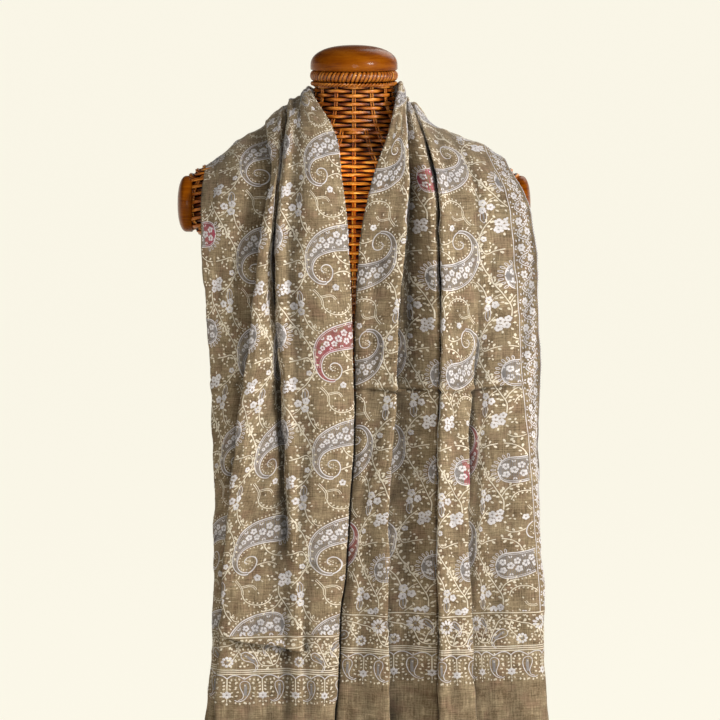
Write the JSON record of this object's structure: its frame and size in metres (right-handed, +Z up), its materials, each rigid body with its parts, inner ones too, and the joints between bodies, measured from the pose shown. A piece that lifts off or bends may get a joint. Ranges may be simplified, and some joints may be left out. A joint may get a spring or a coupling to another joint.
{
  "type": "pashmina shawl on a wicker dress form",
  "caption": "Embroidered pashmina shawl folded lengthwise and hung round the neck of a limbless wicker dress form on a turned wooden stand.",
  "frame": {"origin": "centre of the underside of the stand's round base, which is the surface it stands on", "axes": "+Z up along the form, -Y towards the form's front where both ends of the shawl hang, +X to the right as seen from the front"},
  "size_m": [0.4401, 0.3, 1.0899],
  "materials": {
    "pashmina_cloth": "soft matt twill wool in heathered taupe, with slubs and a faint nap",
    "cream_thread": "cream embroidery thread with a slight sheen",
    "grey_thread": "grey lavender satin-stitch fill",
    "rose_thread": "rose embroidery thread",
    "fringe_yarn": "loose twisted warp ends",
    "woven_cane": "varnished split cane, glossy orange brown with dark gaps",
    "varnished_wood": "glossy honey-brown varnish over turned wood"
  },
  "bodies": {
    "root": {"form_torso": "woven_cane", "form_neck_ring": "woven_cane", "form_neck_cap": "varnished_wood", "form_arm_cap_left": "varnished_wood", "form_arm_cap_right": "varnished_wood", "form_base_board": "varnished_wood", "stand_post": "varnished_wood", "stand_base": "varnished_wood", "shawl_left_fall": "pashmina_cloth", "shawl_neck": "pashmina_cloth", "shawl_right_fall": "pashmina_cloth", "fringe_left": "fringe_yarn", "fringe_right": "fringe_yarn"}
  },
  "joints": []
}
